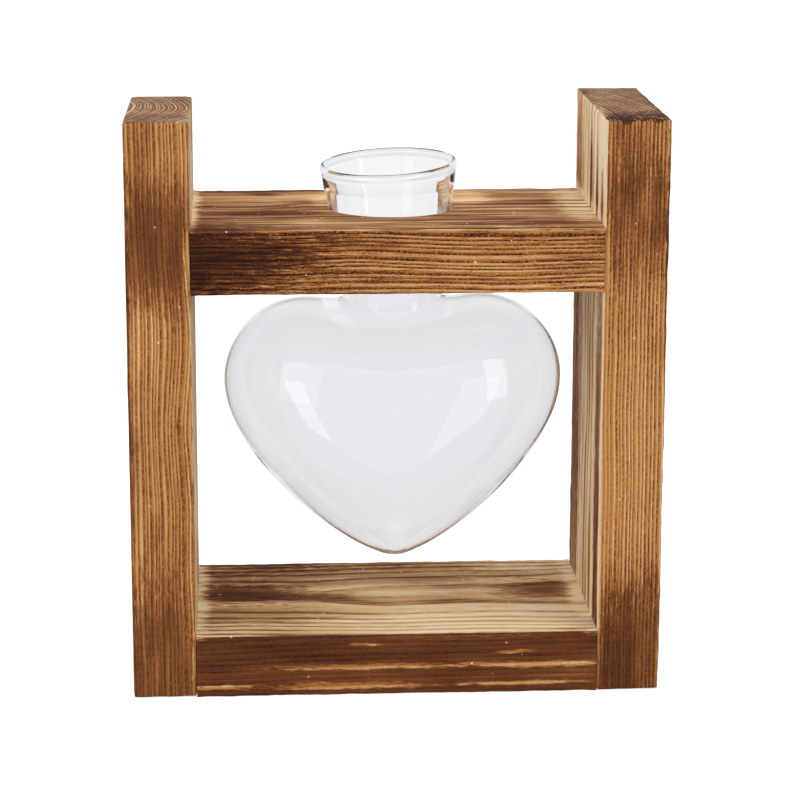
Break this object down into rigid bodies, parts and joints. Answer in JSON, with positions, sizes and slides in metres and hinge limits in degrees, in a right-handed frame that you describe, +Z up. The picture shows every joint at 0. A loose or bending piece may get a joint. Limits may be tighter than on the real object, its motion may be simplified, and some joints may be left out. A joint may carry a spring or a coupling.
{
  "type": "heart-shaped glass vase in wooden frame",
  "caption": "Clear heart-shaped glass vase with a flared mouth, hung by its neck in the open-backed slot of a torched pine frame, from which it slides out to the back.",
  "frame": {"origin": "middle of the footprint, on the surface that the frame stands on", "axes": "+Z up, +X to the right seen from the front, +Y to the back, where the slot is open"},
  "size_m": [0.15, 0.07, 0.1643],
  "materials": {
    "torched_pine": "scorched, brushed and sealed matt",
    "beech": "raw",
    "clear_glass": "clear, blown, fire-polished rim"
  },
  "bodies": {
    "frame": {"left_upright": "torched_pine", "right_upright": "torched_pine", "top_rail": "torched_pine", "bottom_rail": "torched_pine", "dowel_top_left_front": "beech", "dowel_top_left_back": "beech", "dowel_top_right_front": "beech", "dowel_top_right_back": "beech", "dowel_bottom_left_front": "beech", "dowel_bottom_left_back": "beech", "dowel_bottom_right_front": "beech", "dowel_bottom_right_back": "beech"},
    "vase": {"glass_vase": "clear_glass"}
  },
  "joints": [
    {"name": "vase_slide", "type": "slide", "parent": "frame", "child": "vase", "axis": [0, 1, 0], "range_m": [0, 0.075]}
  ]
}
